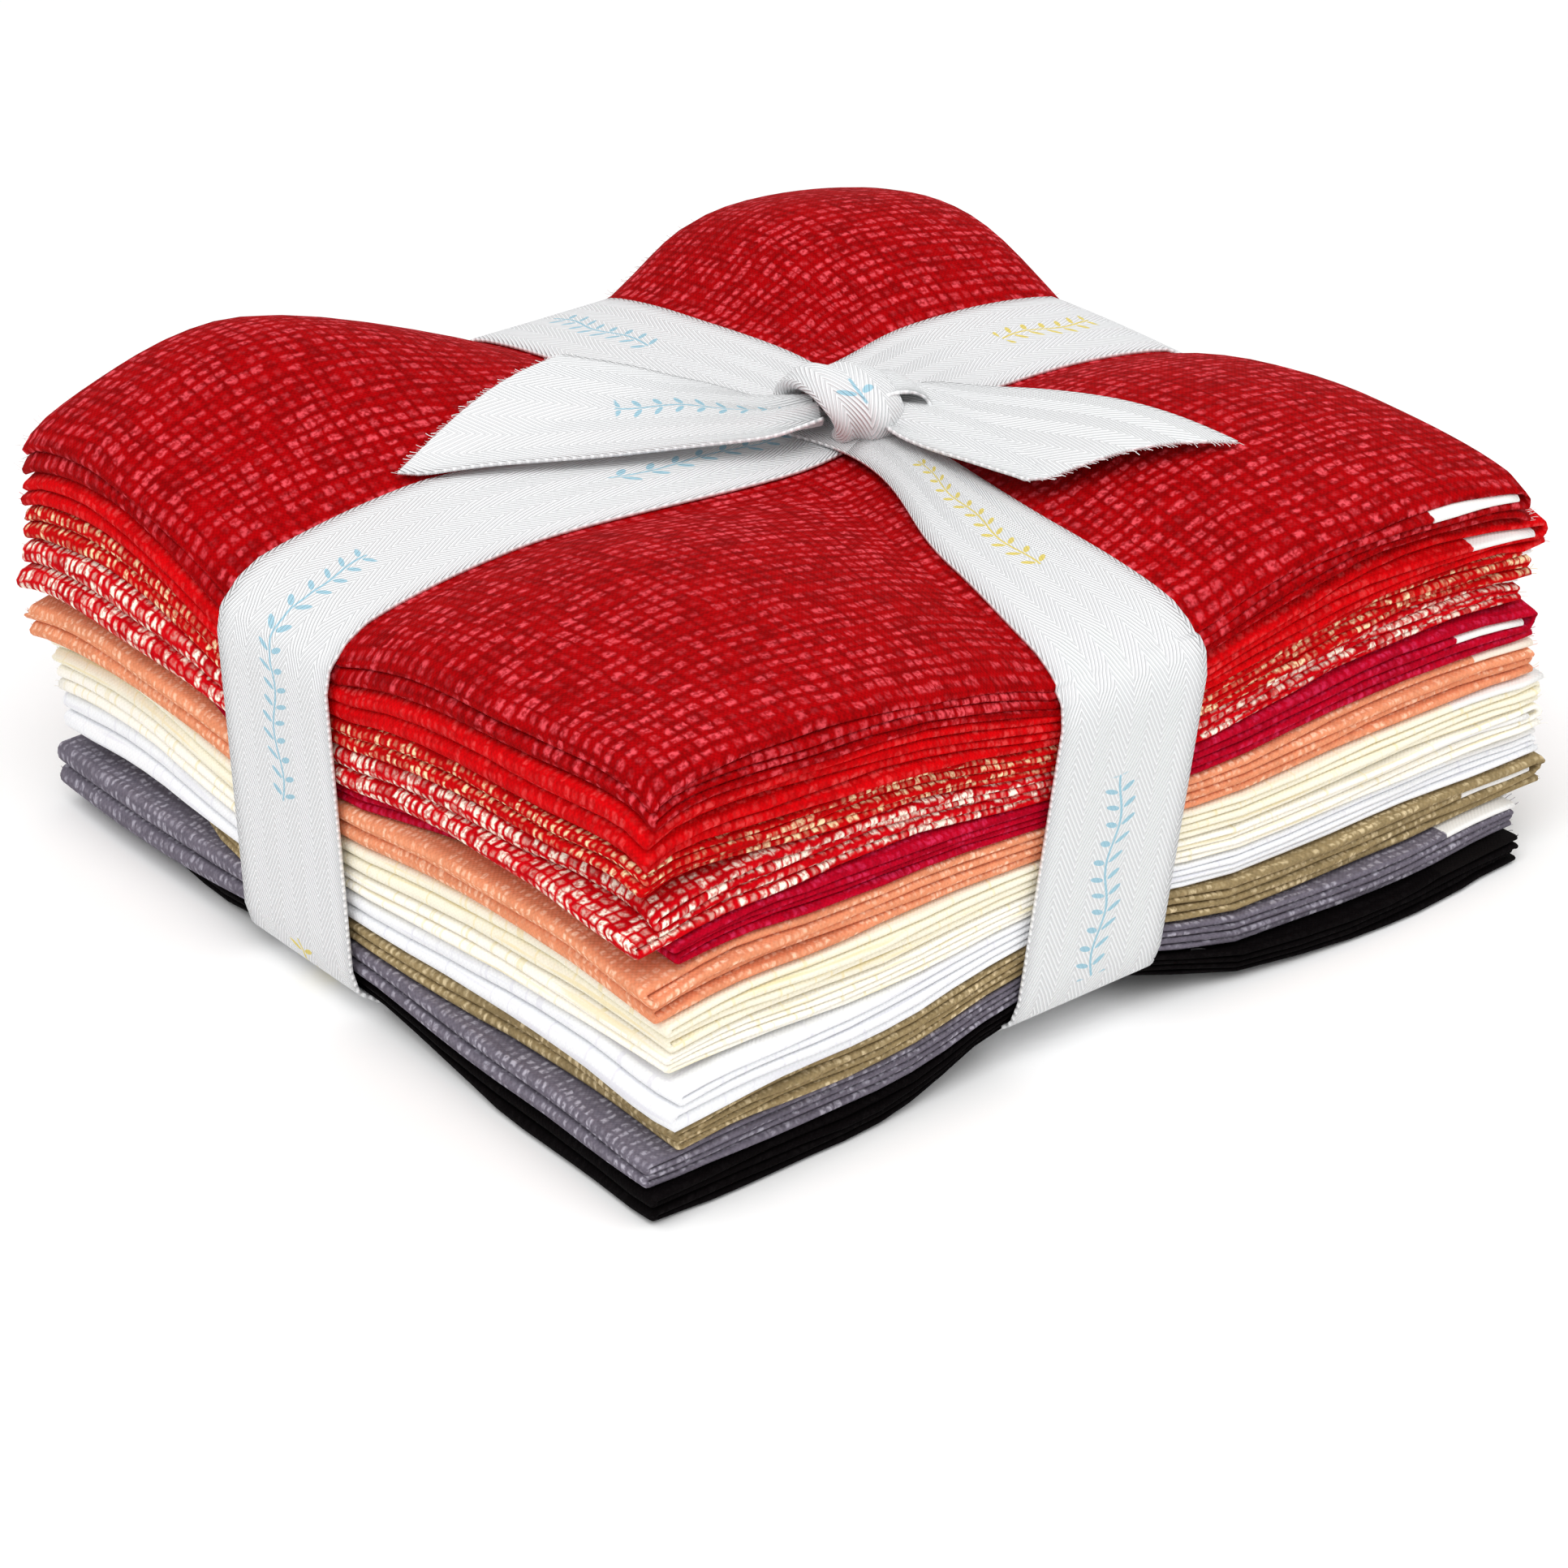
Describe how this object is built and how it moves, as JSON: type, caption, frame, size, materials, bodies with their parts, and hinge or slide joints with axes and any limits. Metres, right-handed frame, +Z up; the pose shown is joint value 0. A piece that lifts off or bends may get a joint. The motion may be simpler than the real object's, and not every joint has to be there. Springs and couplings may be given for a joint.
{
  "type": "fat quarter bundle",
  "caption": "Stack of folded quilting cottons, crowned between the strands of a white twill tape that is tied round it both ways with a knot and two free ends on top.",
  "frame": {"origin": "bottom centre of the bundle, on the surface that it rests on", "axes": "+X along the front from the folded ends to the cut ends of the cloths, +Y from the front to the back, +Z up to the knot"},
  "size_m": [0.144, 0.134, 0.0648],
  "materials": {
    "fat_quarter_01": "plain-weave quilting cotton, dark red with a woven-look grid of small coral dashes",
    "fat_quarter_02": "plain-weave quilting cotton, bright red with a woven-look grid of small light red dashes",
    "fat_quarter_03": "plain-weave quilting cotton, red with small cream-yellow dashes",
    "fat_quarter_04": "plain-weave quilting cotton, red with larger white and cream dashes",
    "fat_quarter_05": "plain-weave quilting cotton, crimson with small pink dashes",
    "fat_quarter_06": "plain-weave quilting cotton, peach with small pale dashes",
    "fat_quarter_07": "plain-weave quilting cotton, cream with faint dashes",
    "fat_quarter_08": "plain-weave quilting cotton, ivory with faint dashes",
    "fat_quarter_09": "plain-weave quilting cotton, white with faint pale dashes",
    "fat_quarter_10": "plain-weave quilting cotton, tan with small light dashes",
    "fat_quarter_11": "plain-weave quilting cotton, grey with small pale dashes",
    "fat_quarter_12": "plain-weave quilting cotton, black with barely lighter dashes",
    "tape": "white cotton herringbone twill tape with a small printed sprig"
  },
  "bodies": {
    "root": {"fat_quarter_01": "fat_quarter_01", "fat_quarter_02": "fat_quarter_02", "fat_quarter_03": "fat_quarter_03", "fat_quarter_04": "fat_quarter_04", "fat_quarter_05": "fat_quarter_05", "fat_quarter_06": "fat_quarter_06", "fat_quarter_07": "fat_quarter_07", "fat_quarter_08": "fat_quarter_08", "fat_quarter_09": "fat_quarter_09", "fat_quarter_10": "fat_quarter_10", "fat_quarter_11": "fat_quarter_11", "fat_quarter_12": "fat_quarter_12", "tape_strand_x": "tape", "tape_strand_y": "tape", "tape_tail_left": "tape", "tape_tail_right": "tape", "tape_knot": "tape"}
  },
  "joints": []
}
